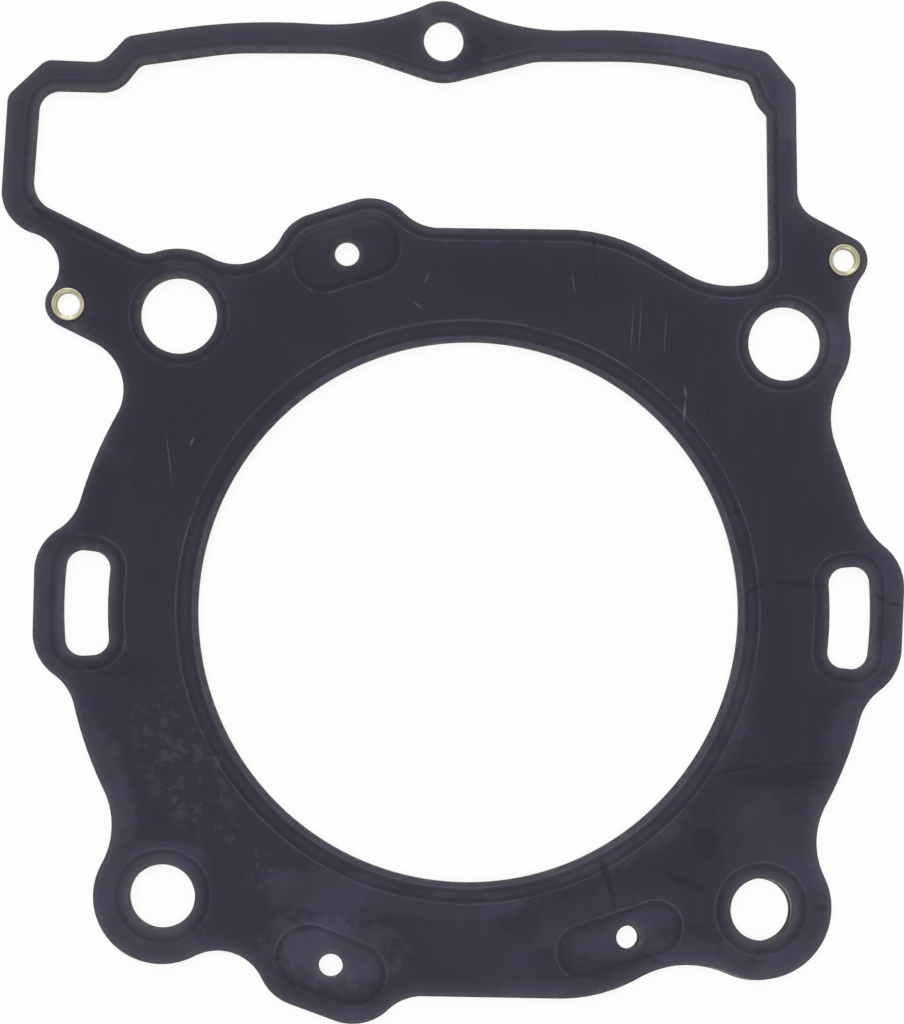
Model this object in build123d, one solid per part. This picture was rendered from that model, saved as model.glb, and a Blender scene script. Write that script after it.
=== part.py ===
"""Cylinder head gasket of multi-layer steel for a large single-cylinder engine.

Two embossed spring-steel facings lie either side of a flat spacer sheet, and two hollow brass
eyelets hold the three together. Every sheet has the same outline and the same holes. The facings
carry a full bead round the bore and half beads round the bolt holes, the coolant slots, the oil
holes and the chain tunnel. The beads rise away from the spacer, so the gasket rests on them.

Millimetres. The origin is on the bore's axis in the plane that the gasket rests on, +Z runs up
through the sheets, and +Y points to the chain tunnel.
"""
from build123d import *
import math
import os

# --- Driving dimensions -------------------------------------------------------------------------

# Sheets and their beads
FACING_T = 0.25          # each embossed facing
SPACER_T = 0.30          # flat sheet between the facings
BEAD_RISE = 0.22         # crown of a bead above the sheet around it
HALF_BEAD_SLOPE_W = 1.4  # sloping wall of a half bead, seen from above

# Bore, with its full bead
BORE_R = 48.5
BORE_LIP_W = 0.7         # flat lip between the bore and the foot of its bead
BORE_BEAD_W = 3.7        # foot to foot
BORE_BEAD_SLOPE_W = 1.1
BORE_CROWN_CAMBER = 0.05  # the crown's arch, part of BEAD_RISE
JACKET_W = 24.2          # bore's wall to the sheet's edge where it follows the cylinder's jacket

# Cylinder head bolts: a rectangle whose middle lies a little off the bore's axis
BOLT_SPACING_X = 108.2
BOLT_SPACING_Y = 102.9
BOLT_SHIFT_X = 0.8
BOLT_SHIFT_Y = -0.7
UPPER_BOLT_HOLE_R = 6.65
LOWER_BOLT_HOLE_R = 5.75
BOLT_BEAD_R = 8.9        # foot of the half bead round each bolt hole
LOWER_LEFT_BOSS_R = 12.2
LOWER_RIGHT_BOSS_R = 13.0
UPPER_RIGHT_BOSS_R = 12.2

# Coolant slots, bowed to follow the bore
SLOT_W = 7.8
SLOT_L = 18.5
SLOT_CORNER_R = 3.0
SLOT_BEAD_MARGIN = 3.0   # slot's edge to the foot of its half bead
LEFT_SLOT_GAP = 15.7     # bore's wall to the slot
RIGHT_SLOT_GAP = 16.7
LEFT_SLOT_Y = -0.4
RIGHT_SLOT_Y = 1.6
LEFT_SLOT_RIM = 5.2      # slot's edge to the sheet's outer edge
RIGHT_SLOT_RIM = 5.9

# Small ports, each in an oblong pad placed from the bolt hole beside it
SMALL_HOLE_R = 2.15
TOP_PAD_FROM_BOLT = (29.1, 12.25)
TOP_PAD_L = 20.2
TOP_PAD_W = 11.6
TOP_PAD_SLANT = 20.0     # degrees
LOWER_LEFT_PAD_FROM_BOLT = (30.2, -11.85)
LOWER_LEFT_PAD_L = 21.3
LOWER_LEFT_PAD_W = 12.6
LOWER_LEFT_PAD_SLANT = -19.5
LOWER_RIGHT_PAD_FROM_BOLT = (-25.9, -6.15)
LOWER_RIGHT_PAD_L = 24.6
LOWER_RIGHT_PAD_W = 10.8
LOWER_RIGHT_PAD_SLANT = 19.5
LOWER_RIGHT_HOLE_SHIFT = 1.6  # this hole lies off its pad's middle, along the pad
LOWER_LEFT_PAD_RIM = 2.8      # pad's foot to the sheet's outer edge
TOP_PAD_RIM = 2.7             # pad's foot to the chain tunnel

# Chain tunnel and its lug
TUNNEL_BAND_W = 2.4      # tunnel's edge to the foot of its half bead
UPPER_LEFT_BOSS_R = 11.7  # upper left bolt hole to the tunnel's edge
LUG_FROM_BOLT = (44.9, 50.45)  # from the upper left bolt hole
LUG_HOLE_R = 3.5
LUG_BOSS_R = 7.0

# Eyelets, each placed from the bolt hole beside it
LEFT_EYELET_FROM_BOLT = (-19.2, 1.1)
RIGHT_EYELET_FROM_BOLT = (10.3, 15.5)
EYELET_BORE_R = 1.9
EYELET_WALL_T = 0.3
EYELET_HEAD_R = 2.85
EYELET_HEAD_T = 0.38
EYELET_ROLL_T = 0.20     # rolled-over end under the sheets
EYELET_CLEARANCE = 0.05  # barrel to the sheets' holes, on the radius
LEFT_EAR_R = 4.0         # lobe of sheet round each eyelet
RIGHT_EAR_R = 4.3

# --- Places worked out from them ----------------------------------------------------------------

STACK_T = 2 * FACING_T + SPACER_T
TOUCHING = 1e-4          # arcs that end this close meet with no straight between them
FIELD_Z = BEAD_RISE      # underside of the lower facing's field
EYELET_BARREL_R = EYELET_BORE_R + EYELET_WALL_T
EYELET_HOLE_R = EYELET_BARREL_R + EYELET_CLEARANCE


def bolt_place(side, row):
    """Centre of a bolt hole: side is -1 left or +1 right, row is -1 lower or +1 upper."""
    return BOLT_SHIFT_X + side * BOLT_SPACING_X / 2, BOLT_SHIFT_Y + row * BOLT_SPACING_Y / 2


def beside(place, dx, dy):
    return place[0] + dx, place[1] + dy


UPPER_LEFT_BOLT = bolt_place(-1, 1)
UPPER_RIGHT_BOLT = bolt_place(1, 1)
LOWER_LEFT_BOLT = bolt_place(-1, -1)
LOWER_RIGHT_BOLT = bolt_place(1, -1)
LEFT_EYELET = beside(UPPER_LEFT_BOLT, *LEFT_EYELET_FROM_BOLT)
RIGHT_EYELET = beside(UPPER_RIGHT_BOLT, *RIGHT_EYELET_FROM_BOLT)
LUG_HOLE = beside(UPPER_LEFT_BOLT, *LUG_FROM_BOLT)
BAR_LEFT = (UPPER_LEFT_BOLT[0], LUG_HOLE[1])    # the tunnel's outer bar, above a bolt hole
BAR_RIGHT = (UPPER_RIGHT_BOLT[0], LUG_HOLE[1])
JACKET_MIDDLE = (BOLT_SHIFT_X, BOLT_SHIFT_Y)


def slot_place(side):
    """Centre of a coolant slot, at its gap from the bore's wall."""
    gap, y = (LEFT_SLOT_GAP, LEFT_SLOT_Y) if side < 0 else (RIGHT_SLOT_GAP, RIGHT_SLOT_Y)
    return side * (BORE_R + gap + SLOT_W / 2), y


LEFT_SLOT = slot_place(-1)
RIGHT_SLOT = slot_place(1)


# Each pad is its middle x and y, length, width and slant.
TOP_PAD = (*beside(UPPER_LEFT_BOLT, *TOP_PAD_FROM_BOLT), TOP_PAD_L, TOP_PAD_W, TOP_PAD_SLANT)
LOWER_LEFT_PAD = (*beside(LOWER_LEFT_BOLT, *LOWER_LEFT_PAD_FROM_BOLT),
                  LOWER_LEFT_PAD_L, LOWER_LEFT_PAD_W, LOWER_LEFT_PAD_SLANT)
LOWER_RIGHT_PAD = (*beside(LOWER_RIGHT_BOLT, *LOWER_RIGHT_PAD_FROM_BOLT),
                   LOWER_RIGHT_PAD_L, LOWER_RIGHT_PAD_W, LOWER_RIGHT_PAD_SLANT)


def along_pad(pad, distance):
    """Point on an oblong pad's centre line, at a distance from its middle."""
    x, y, _, _, slant = pad
    return (x + distance * math.cos(math.radians(slant)), y + distance * math.sin(math.radians(slant)))


def pad_end(pad, side):
    """Centre of one of the pad's round ends."""
    return along_pad(pad, side * (pad[2] - pad[3]) / 2)


TOP_HOLE = along_pad(TOP_PAD, 0)
LOWER_LEFT_HOLE = along_pad(LOWER_LEFT_PAD, 0)
LOWER_RIGHT_HOLE = along_pad(LOWER_RIGHT_PAD, LOWER_RIGHT_HOLE_SHIFT)

# --- Outlines as belts pulled tight round pegs --------------------------------------------------
# A peg is (x, y, radius). Anticlockwise round the outline, a positive radius is a peg inside it, so
# the corner bulges out, and a negative radius is a peg outside it, so the corner is hollow.


def about(place, radius):
    """Peg round a hole or another place."""
    return place[0], place[1], radius


def under(place, dx, dy, radius):
    """Peg that touches, from below, the point dx, dy from a place."""
    return place[0] + dx, place[1] + dy - abs(radius), radius


def over(place, dx, dy, radius):
    """Peg that touches, from above, the point dx, dy from a place."""
    return place[0] + dx, place[1] + dy + abs(radius), radius


def right_of(place, dx, dy, radius):
    """Peg that touches, from the right, the point dx, dy from a place."""
    return place[0] + dx + abs(radius), place[1] + dy, radius


def left_of(place, dx, dy, radius):
    """Peg that touches, from the left, the point dx, dy from a place."""
    return place[0] + dx - abs(radius), place[1] + dy, radius


def bearing_of(place, middle):
    """Direction in degrees from one place to another."""
    return math.degrees(math.atan2(place[1] - middle[1], place[0] - middle[0]))


def against(peg, bearing, radius):
    """Peg that touches another at a bearing in degrees from its middle: from outside where its radius
    has the other sign, so the outline turns the other way there, and otherwise from inside.
    """
    reach = abs(radius - peg[2])
    return (peg[0] + reach * math.cos(math.radians(bearing)),
            peg[1] + reach * math.sin(math.radians(bearing)), radius)


def nestled(first, second, radius):
    """Peg that touches two others from the far side of the outline, so the outline flows from one to
    the next with no straight between them. Its radius has the other sign from theirs.
    """
    (x1, y1, r1), (x2, y2, r2) = first, second
    reach1, reach2 = abs(radius - r1), abs(radius - r2)
    dx, dy = x2 - x1, y2 - y1
    span = math.hypot(dx, dy)
    along = (reach1 ** 2 - reach2 ** 2 + span ** 2) / (2 * span)
    across = math.copysign(math.sqrt(reach1 ** 2 - along ** 2), radius)
    return x1 + (along * dx - across * dy) / span, y1 + (along * dy + across * dx) / span, radius


def grown(pegs, margin):
    """The same belt, moved outwards by a margin all the way round."""
    return [(x, y, radius + margin) for x, y, radius in pegs]


def belt(pegs):
    """Closed wire of arcs round the pegs and the straight lines that touch one peg and the next."""
    headings = []
    for (x1, y1, r1), (x2, y2, r2) in zip(pegs, pegs[1:] + pegs[:1]):
        lean = (r2 - r1) / math.hypot(x2 - x1, y2 - y1)
        headings.append(math.atan2(y2 - y1, x2 - x1) - math.asin(max(-1, min(1, lean))))
    arcs = []
    for i, (x, y, radius) in enumerate(pegs):
        turn = math.remainder(headings[i] - headings[i - 1], 2 * math.pi)
        on_arc = [headings[i - 1] + turn * part for part in (0, 0.5, 1)]
        arcs.append([Vector(x + radius * math.sin(a), y - radius * math.cos(a)) for a in on_arc])
    edges = []
    for arc, following in zip(arcs, arcs[1:] + arcs[:1]):
        straight = (following[0] - arc[2]).length > TOUCHING
        edges.append(Edge.make_three_point_arc(*arc[:2], arc[2] if straight else following[0]))
        if straight:
            edges.append(Edge.make_line(arc[2], following[0]))
    return Wire(edges)


def slot_lobe(place, rim):
    """Upper and lower pegs of the lobe of sheet round a slot."""
    half = (SLOT_L - SLOT_W) / 2
    return [about(beside(place, 0, dy), SLOT_W / 2 + rim) for dy in (half, -half)]


def sheet_pegs():
    """Outer edge of every sheet, anticlockwise from the lug."""
    left_lobe_high, left_lobe_low = slot_lobe(LEFT_SLOT, LEFT_SLOT_RIM)
    right_lobe_high, right_lobe_low = slot_lobe(RIGHT_SLOT, RIGHT_SLOT_RIM)
    jacket = about(JACKET_MIDDLE, BORE_R + JACKET_W)
    lug = about(LUG_HOLE, LUG_BOSS_R)
    left_bar = under(BAR_LEFT, 20.7, 1.7, 113)
    right_bar = under(BAR_RIGHT, -30.2, 3.7, 106)
    left_corner = right_of(UPPER_LEFT_BOLT, -31.1, 20.25, 7.2)
    bottom_corner = over(LOWER_RIGHT_BOLT, -36.8, -17.15, 28.7)
    left_ear = about(LEFT_EYELET, LEFT_EAR_R)
    right_ear = about(RIGHT_EYELET, RIGHT_EAR_R)
    lower_left_boss = about(LOWER_LEFT_BOLT, LOWER_LEFT_BOSS_R)
    pad_lobe_left = about(pad_end(LOWER_LEFT_PAD, -1), LOWER_LEFT_PAD_W / 2 + LOWER_LEFT_PAD_RIM)
    pad_lobe_right = about(pad_end(LOWER_LEFT_PAD, 1), LOWER_LEFT_PAD_W / 2 + LOWER_LEFT_PAD_RIM)
    lower_right_boss = about(LOWER_RIGHT_BOLT, LOWER_RIGHT_BOSS_R)
    upper_right_boss = about(UPPER_RIGHT_BOLT, UPPER_RIGHT_BOSS_R)
    return [
        lug,
        nestled(lug, left_bar, -43),
        left_bar,
        under(BAR_LEFT, -8.8, -2.1, 2.7),
        over(BAR_LEFT, -16.2, -7.1, -4),
        under(BAR_LEFT, -22.9, -7.2, 2.8),
        right_of(BAR_LEFT, -30.5, -14.8, 2.6),
        left_corner,
        nestled(left_corner, left_ear, -6),
        left_ear,
        against(jacket, bearing_of(left_ear, jacket) + 8, -9),
        jacket,
        nestled(jacket, left_lobe_high, -9),
        left_lobe_high,
        left_lobe_low,
        nestled(left_lobe_low, jacket, -9),
        jacket,
        nestled(jacket, lower_left_boss, -14.6),
        lower_left_boss,
        nestled(lower_left_boss, pad_lobe_left, -8.7),
        pad_lobe_left,
        pad_lobe_right,
        against(pad_lobe_right, -44.7, -8.6),
        bottom_corner,
        nestled(bottom_corner, lower_right_boss, -19),
        lower_right_boss,
        nestled(lower_right_boss, jacket, -14.5),
        jacket,
        nestled(jacket, right_lobe_low, -10),
        right_lobe_low,
        right_lobe_high,
        against(right_lobe_high, 53.4, -15.3),
        against(upper_right_boss, -28.3, -13.9),
        upper_right_boss,
        nestled(upper_right_boss, right_ear, -13),
        right_ear,
        about(beside(RIGHT_EYELET, -3.8, 12.3), -5.3),
        left_of(BAR_RIGHT, 0.2, -5.5, 2.7),
        under(BAR_RIGHT, -7.1, 1.7, 3.4),
        right_bar,
        nestled(right_bar, lug, -41),
    ]


def tunnel_pegs():
    """Edge of the chain tunnel, anticlockwise from its lower right corner."""
    bolt_bulge = about(UPPER_LEFT_BOLT, -UPPER_LEFT_BOSS_R)
    pad_bulge_left = about(pad_end(TOP_PAD, -1), -TOP_PAD_W / 2 - TOP_PAD_RIM)
    pad_bulge_right = about(pad_end(TOP_PAD, 1), -TOP_PAD_W / 2 - TOP_PAD_RIM)
    return [
        left_of(UPPER_RIGHT_BOLT, -3.4, 14.45, 4.2),
        left_of(BAR_RIGHT, -4.8, -10.1, 0.8),
        about(beside(BAR_RIGHT, -1.5, -4.3), -6.2),
        under(BAR_RIGHT, -9.7, -3.6, 1.8),
        under(BAR_RIGHT, -29, -1.5, 80),
        under(LUG_HOLE, 18.6, -2.3, 12),
        about(beside(LUG_HOLE, -0.2, 2.4), -9.5),
        under(LUG_HOLE, -20.0, -3.1, 29.7),
        under(BAR_LEFT, 14.1, -3.7, 50),
        under(BAR_LEFT, -6.5, -6.8, 2.5),
        over(BAR_LEFT, -14.7, -12.1, -6),
        under(BAR_LEFT, -21.5, -12.3, 3.7),
        right_of(UPPER_LEFT_BOLT, -25.8, 22.35, 5.3),
        against(bolt_bulge, 111.5, 4.7),
        bolt_bulge,
        nestled(bolt_bulge, pad_bulge_left, 9),
        pad_bulge_left,
        pad_bulge_right,
        against(pad_bulge_right, 47, 8.7),
        under(UPPER_RIGHT_BOLT, -39.3, 18.45, -31.3),
        over(UPPER_RIGHT_BOLT, -11, 9.85, 16),
    ]


def slot_pegs(place):
    """Edge of a coolant slot, anticlockwise: its long sides are arcs about the bore."""
    radius, middle = math.hypot(*place), math.degrees(math.atan2(place[1], place[0]))
    half_bow = math.degrees((SLOT_L / 2 - SLOT_CORNER_R) / radius)
    inner, outer = about((0, 0), SLOT_W / 2 - radius), about((0, 0), SLOT_W / 2 + radius)
    low, high = middle - half_bow, middle + half_bow
    return [
        against(outer, low, SLOT_CORNER_R),
        outer,
        against(outer, high, SLOT_CORNER_R),
        against(inner, high, SLOT_CORNER_R),
        inner,
        against(inner, low, SLOT_CORNER_R),
    ]


# --- Cutters and beads --------------------------------------------------------------------------


def slot_face(place, margin=0.0):
    return Face(belt(grown(slot_pegs(place), margin)))


def pad_face(pad, margin=0.0):
    """Oblong pad with round ends."""
    x, y, length, width, slant = pad
    return Pos(x, y) * Rot(0, 0, slant) * SlotCenterToCenter(length - width, width + 2 * margin)


def tunnel_face(margin=0.0):
    return Face(belt(grown(tunnel_pegs(), margin)))


def disc_face(place, radius):
    return Pos(*place) * Circle(radius)


def half_bead(face_at):
    """Raised ground with sloping walls, from the sheet's face at z = 0 up to the bead's rise.

    face_at(margin) is the ground's shape, grown by a margin.
    """
    return loft([face_at(0), Pos(0, 0, BEAD_RISE) * face_at(-HALF_BEAD_SLOPE_W)], ruled=True)


def bore_bead():
    """Full bead round the bore: a cambered crown between two sloping walls."""
    foot_in = BORE_R + BORE_LIP_W
    foot_out = foot_in + BORE_BEAD_W
    shoulder = BEAD_RISE - BORE_CROWN_CAMBER
    top_in = (foot_in + BORE_BEAD_SLOPE_W, shoulder)
    top_out = (foot_out - BORE_BEAD_SLOPE_W, shoulder)
    crown = ((foot_in + foot_out) / 2, BEAD_RISE)
    section = Plane.XZ * Wire([
        Edge.make_line((foot_out, 0), (foot_in, 0)),
        Edge.make_line((foot_in, 0), top_in),
        Edge.make_three_point_arc(top_in, crown, top_out),
        Edge.make_line(top_out, (foot_out, 0)),
    ])
    return revolve(Face(section), Axis.Z)


def beads():
    """All the raised ground of a facing, standing on z = 0."""
    bolts = (UPPER_LEFT_BOLT, UPPER_RIGHT_BOLT, LOWER_LEFT_BOLT, LOWER_RIGHT_BOLT)
    raised = [bore_bead()]
    raised += [half_bead(lambda margin, at=at: disc_face(at, BOLT_BEAD_R + margin)) for at in bolts]
    raised += [half_bead(lambda margin, at=at: slot_face(at, SLOT_BEAD_MARGIN + margin))
               for at in (LEFT_SLOT, RIGHT_SLOT)]
    raised += [half_bead(lambda margin, pad=pad: pad_face(pad, margin))
               for pad in (TOP_PAD, LOWER_LEFT_PAD, LOWER_RIGHT_PAD)]
    raised.append(half_bead(lambda margin: tunnel_face(TUNNEL_BAND_W + margin)))
    return raised


def round_holes():
    """Every round hole of a sheet, as (centre, radius)."""
    return [
        ((0, 0), BORE_R),
        (UPPER_LEFT_BOLT, UPPER_BOLT_HOLE_R),
        (UPPER_RIGHT_BOLT, UPPER_BOLT_HOLE_R),
        (LOWER_LEFT_BOLT, LOWER_BOLT_HOLE_R),
        (LOWER_RIGHT_BOLT, LOWER_BOLT_HOLE_R),
        (LUG_HOLE, LUG_HOLE_R),
        (TOP_HOLE, SMALL_HOLE_R),
        (LOWER_LEFT_HOLE, SMALL_HOLE_R),
        (LOWER_RIGHT_HOLE, SMALL_HOLE_R),
        (LEFT_EYELET, EYELET_HOLE_R),
        (RIGHT_EYELET, EYELET_HOLE_R),
    ]


def openings():
    """Faces of every hole, slot and tunnel that goes through a sheet."""
    faces = [disc_face(place, radius) for place, radius in round_holes()]
    faces += [slot_face(LEFT_SLOT), slot_face(RIGHT_SLOT), tunnel_face()]
    return faces


def cut_openings(sheet, low, high):
    """The sheet without its openings, cut from one level to another."""
    for face in openings():
        sheet -= extrude(Pos(0, 0, low) * face, high - low)
    return sheet


# --- Pieces -------------------------------------------------------------------------------------


def facing():
    """Embossed sheet with the underside of its field at z = 0 and its beads rising up."""
    sheet = extrude(Face(belt(sheet_pegs())), FACING_T)
    for bead in beads():
        sheet += Pos(0, 0, FACING_T) * bead
    for bead in beads():
        sheet -= bead
    return cut_openings(sheet, -FACING_T, 2 * FACING_T + BEAD_RISE)


def spacer():
    """Flat sheet with its underside at z = 0."""
    sheet = extrude(Face(belt(sheet_pegs())), SPACER_T)
    return cut_openings(sheet, -SPACER_T, 2 * SPACER_T)


def eyelet():
    """Hollow rivet: a barrel through the stack, a round-edged head above and a rolled end below.

    The underside of the stack is at z = 0.
    """
    flare = min(EYELET_HEAD_T, EYELET_ROLL_T) * 0.9
    body = Cylinder(EYELET_BARREL_R, STACK_T, align=(Align.CENTER, Align.CENTER, Align.MIN))
    head = Cylinder(EYELET_HEAD_R, EYELET_HEAD_T, align=(Align.CENTER, Align.CENTER, Align.MIN))
    roll = Cylinder(EYELET_HEAD_R, EYELET_ROLL_T, align=(Align.CENTER, Align.CENTER, Align.MAX))
    head = fillet(head.edges().sort_by(Axis.Z)[-1], EYELET_HEAD_T * 0.8)
    roll = fillet(roll.edges().sort_by(Axis.Z)[0], EYELET_ROLL_T * 0.8)
    rivet = body + Pos(0, 0, STACK_T) * head + roll
    rivet -= Cylinder(EYELET_BORE_R, 4 * STACK_T)
    mouths = [edge for edge in rivet.edges().filter_by(GeomType.CIRCLE)
              if abs(edge.radius - EYELET_BORE_R) < 1e-6]
    return fillet(mouths, flare)


def build():
    """Every piece in its place, by node name."""
    upper = facing()
    lower = mirror(upper, Plane.XY)
    rivet = eyelet()
    return {
        "bottom_facing_sheet": Pos(0, 0, FIELD_Z + FACING_T) * lower,
        "spacer_sheet": Pos(0, 0, FIELD_Z + FACING_T) * spacer(),
        "top_facing_sheet": Pos(0, 0, FIELD_Z + FACING_T + SPACER_T) * upper,
        "left_eyelet": Pos(*LEFT_EYELET, FIELD_Z) * rivet,
        "right_eyelet": Pos(*RIGHT_EYELET, FIELD_Z) * rivet,
    }


os.makedirs("parts", exist_ok=True)
for node, piece in build().items():
    export_step(piece, f"parts/{node}.step")
    print(node, round(piece.volume, 2))
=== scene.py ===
"""Looks of a multi-layer steel cylinder head gasket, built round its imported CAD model.

The two embossed facings, the spacer between them and the two eyelets are made again as fine
surfaces over the outlines and levels of the CAD model, with rounded beads and real cut edges.
Every object is in metres, in the CAD's own frame.
"""
import math

import bpy
import numpy as np
from bpy.props import FloatProperty, FloatVectorProperty, PointerProperty
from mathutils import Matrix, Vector
from mathutils.geometry import delaunay_2d_cdt


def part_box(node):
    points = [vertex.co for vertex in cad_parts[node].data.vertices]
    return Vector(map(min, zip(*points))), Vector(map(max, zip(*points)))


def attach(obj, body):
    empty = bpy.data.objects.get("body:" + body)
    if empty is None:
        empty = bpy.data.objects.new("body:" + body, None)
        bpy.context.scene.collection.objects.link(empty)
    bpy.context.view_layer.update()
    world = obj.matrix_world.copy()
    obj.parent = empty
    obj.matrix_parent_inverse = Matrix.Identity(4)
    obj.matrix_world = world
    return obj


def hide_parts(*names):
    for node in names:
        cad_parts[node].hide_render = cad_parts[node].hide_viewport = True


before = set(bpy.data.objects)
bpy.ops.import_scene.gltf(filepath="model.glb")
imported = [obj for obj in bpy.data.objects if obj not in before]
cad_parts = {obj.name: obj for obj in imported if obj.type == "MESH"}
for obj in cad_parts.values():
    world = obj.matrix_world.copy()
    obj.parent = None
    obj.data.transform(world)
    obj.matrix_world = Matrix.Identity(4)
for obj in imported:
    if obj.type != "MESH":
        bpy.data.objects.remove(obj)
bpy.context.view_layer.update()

bl_info = {
    "name": "Multi-layer steel head gasket",
    "version": (1, 0, 0),
    "blender": (4, 5, 0),
    "location": "3D View > Sidebar > Gasket",
    "description": "Coated facings, spacer sheet and brass eyelets of a cylinder head gasket",
    "category": "Add Mesh",
}

MM = 0.001
WHITE = (1.0, 1.0, 1.0, 1.0)
LEVEL_TOLERANCE = 0.01 * MM  # how far from a level a corner may lie and still be on it
SAME_LENGTH = 1e-3  # share by which chords of one length may differ
SAME_AREA = 0.01  # share by which a foot and its opening differ where there is no bead
ROUND_TOLERANCE = 0.02  # share by which a round outline's radius may vary
BATCH = 2000  # places whose distances are worked out at once


# --- Sizes and colours a user would change


def linear(hex_colour):
    """An sRGB hex colour as linear red, green, blue and alpha."""
    parts = (int(hex_colour[i:i + 2], 16) / 255 for i in (1, 3, 5))
    return (*((c / 12.92 if c <= 0.04045 else ((c + 0.055) / 1.055) ** 2.4) for c in parts), 1.0)


def length_property(name, description, millimetres):
    """A length that is written in millimetres and kept in metres."""
    return FloatProperty(name=name, description=description, default=millimetres * MM,
                         unit="LENGTH", precision=5)


def colour_property(name, description, hex_colour):
    """A colour that is written in sRGB hex and kept linear."""
    return FloatVectorProperty(name=name, description=description, default=linear(hex_colour),
                               size=4, subtype="COLOR", min=0, max=1)


class GasketSizes(bpy.types.PropertyGroup):
    step: length_property("Step", "Longest step along an outline", 0.85)
    turn: FloatProperty(name="Turn", description="Largest turn of an outline in one step",
                        default=math.radians(6.5), unit="ROTATION")
    field_step: length_property("Field step", "Spacing of the places over the flat field", 2.0)
    # Painted glare: the coating is painted paler over this distance from a cut edge
    fade: length_property("Edge fade", "How far in from a cut edge the coating is paler", 2.15)
    press_mark: length_property("Press mark", "Flat line that the press leaves before a slope", 0.5)
    slope: length_property("Bead slope", "Width of a bead's sloping wall, seen from above", 1.4)
    blend: FloatProperty(name="Blend", description="Share of a slope that is rounded at each end",
                         default=0.3, subtype="FACTOR", min=0.05, max=0.5)
    bore_lip: length_property("Bore lip", "Flat lip between the bore and its bead", 0.7)
    bore_slope: length_property("Bore bead slope", "Width of the bore bead's sloping walls", 1.1)
    bore_camber: length_property("Bore camber", "Arch of the bore bead's crown", 0.05)
    rolled: length_property("Rolled edge", "Rounding that the punch leaves on a cut edge", 0.05)
    border: length_property("Border", "Strip that is told apart along a cut edge", 0.5)
    creep_heading: FloatProperty(name="Creep heading", description="Way that the lower sheets have crept "
                                 "past the top one", default=math.radians(205), unit="ROTATION")
    spacer_creep: length_property("Spacer creep", "Spacer's creep at the lower right bolt", 0.4)
    spacer_creep_reach: length_property("Spacer creep reach", "How far round the bolt it is felt", 20.0)
    bottom_creep: length_property("Bottom creep", "Bottom facing's creep at that bolt", 0.7)
    bottom_creep_reach: length_property("Bottom creep reach", "How far round the bolt it is felt", 32.0)


class GasketColours(bpy.types.PropertyGroup):
    coating: colour_property("Coating", "Nitrile coating on the flat of a facing", "#252131")
    coating_pale: colour_property("Pale coating", "Coating where it is thin", "#302D3C")
    slate: colour_property("Slate tint", "Coating where it has cured greyer", "#262A36")
    plum: colour_property("Plum tint", "Coating where it has cured redder", "#30253A")
    # Painted glare: this paler colour is painted towards cut edges, and also over the paler patches
    glare_and_pale_patches: colour_property("Edge coating", "Coating rubbed pale towards a cut edge", "#504A5C")
    bead_line: colour_property("Bead line", "Coating stretched along the foot of a bead", "#5E586C")
    # Painted shade: this dark colour is painted into creases, on the slopes past the beads' feet, round
    # each eyelet's head and along the last third of a cut edge
    painted_shade: colour_property("Crease", "Coating in a crease", "#181322")
    stain: colour_property("Stain", "Coating under a dark stain", "#211C2E")
    scratch: colour_property("Scratch", "Coating scored by a fine scratch", "#6F6A7C")
    cut_steel: colour_property("Cut steel", "Punched edge of a coated sheet", "#75746B")
    spacer_steel: colour_property("Spacer steel", "Bare spacer sheet", "#727274")
    brass: colour_property("Brass", "Rolled eyelets", "#A8A28A")
    floor: colour_property("Floor", "Floor under the gasket", "#F8F8F8")


# --- Outlines of the CAD model


def mesh_numbers(collection, name, width, kind=float):
    """One named number of every vertex or face of a mesh, as an array of rows."""
    values = np.empty(len(collection) * width, kind)
    collection.foreach_get(name, values)
    return values.reshape(-1, width)


def flat_outlines(node, level):
    """Closed outlines of a CAD node's upward faces at a height, each walked with the face on its left.

    An edge that two of the triangles share runs both ways and drops out. Each edge that is left
    leads to the next corner. Hops that double in length find every corner's distance to its
    outline's first corner, and so its place in the order.
    """
    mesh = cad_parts[node].data
    places = mesh_numbers(mesh.vertices, "co", 3)
    mesh.calc_loop_triangles()
    corners, number = np.unique(places, axis=0, return_inverse=True)
    triangles = number.reshape(-1)[mesh_numbers(mesh.loop_triangles, "vertices", 3, np.int32)]
    a, b, c = (corners[triangles[:, i]] for i in range(3))
    upward = np.cross(b - a, c - a)[:, 2] > 0
    at_level = (np.abs(corners[triangles][:, :, 2] - level) < LEVEL_TOLERANCE).all(1)
    kept = triangles[upward & at_level]
    tails, heads = kept.ravel(), np.roll(kept, -1, axis=1).ravel()
    alone = ~np.isin(tails * len(corners) + heads, heads * len(corners) + tails)
    tails, heads = tails[alone], heads[alone]
    used = np.unique(tails)
    following = np.empty(len(used), int)
    following[np.searchsorted(used, tails)] = np.searchsorted(used, heads)
    rounds = int(math.log2(len(used))) + 1
    first, hop = np.arange(len(used)), following
    for _ in range(rounds):
        first, hop = np.minimum(first, first[hop]), hop[hop]
    at_first = first == np.arange(len(used))
    distance, hop = np.where(at_first, 0, 1), np.where(at_first, first, following)
    for _ in range(rounds):
        distance, hop = distance + distance[hop], hop[hop]
    outlines = []
    for start in np.flatnonzero(at_first):
        members = np.flatnonzero(first == start)
        order = np.argsort(-distance[members] % len(members))
        outlines.append(corners[used[members[order]], :2])
    return outlines


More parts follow.
